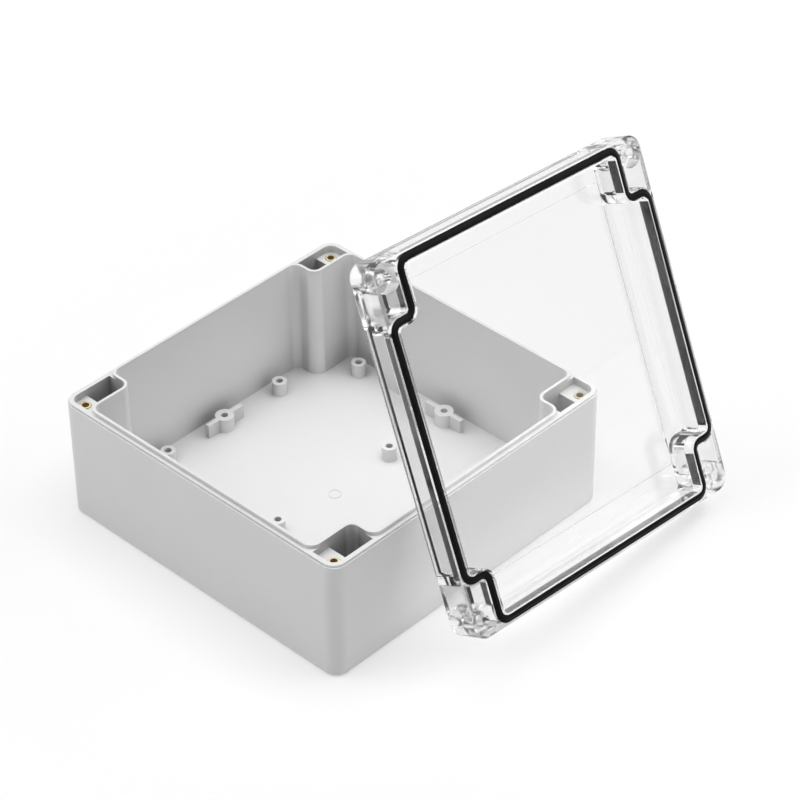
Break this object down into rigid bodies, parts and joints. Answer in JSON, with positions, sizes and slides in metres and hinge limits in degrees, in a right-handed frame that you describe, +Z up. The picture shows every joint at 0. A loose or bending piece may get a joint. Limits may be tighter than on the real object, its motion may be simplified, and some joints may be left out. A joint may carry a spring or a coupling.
{
  "type": "enclosure",
  "caption": "Square wall-mounting polycarbonate enclosure with a stepped seal, threaded corner inserts and a clear gasketed lid taken off and leaning on the base.",
  "frame": {"origin": "middle of the square that the base stands on, in the plane of its underside", "axes": "+Z up, out of the open base; +Y from the wall that the lid leans on to the wall behind it; +X along the wall that the lid leans on, to the side that the lid is shifted to"},
  "size_m": [0.2375, 0.2249, 0.182],
  "materials": {
    "grey_polycarbonate": "satin",
    "clear_polycarbonate": "polished",
    "black_rubber": "satin",
    "brass": "satin"
  },
  "bodies": {
    "base": {"base": "grey_polycarbonate", "insert_front": "brass", "insert_right": "brass", "insert_left": "brass", "insert_back": "brass"},
    "lid": {"lid": "clear_polycarbonate", "gasket": "black_rubber"}
  },
  "joints": [
    {"name": "lid_lift", "type": "slide", "parent": "base", "child": "lid", "axis": [0, 0, 1], "range_m": [0, 0.12]}
  ]
}
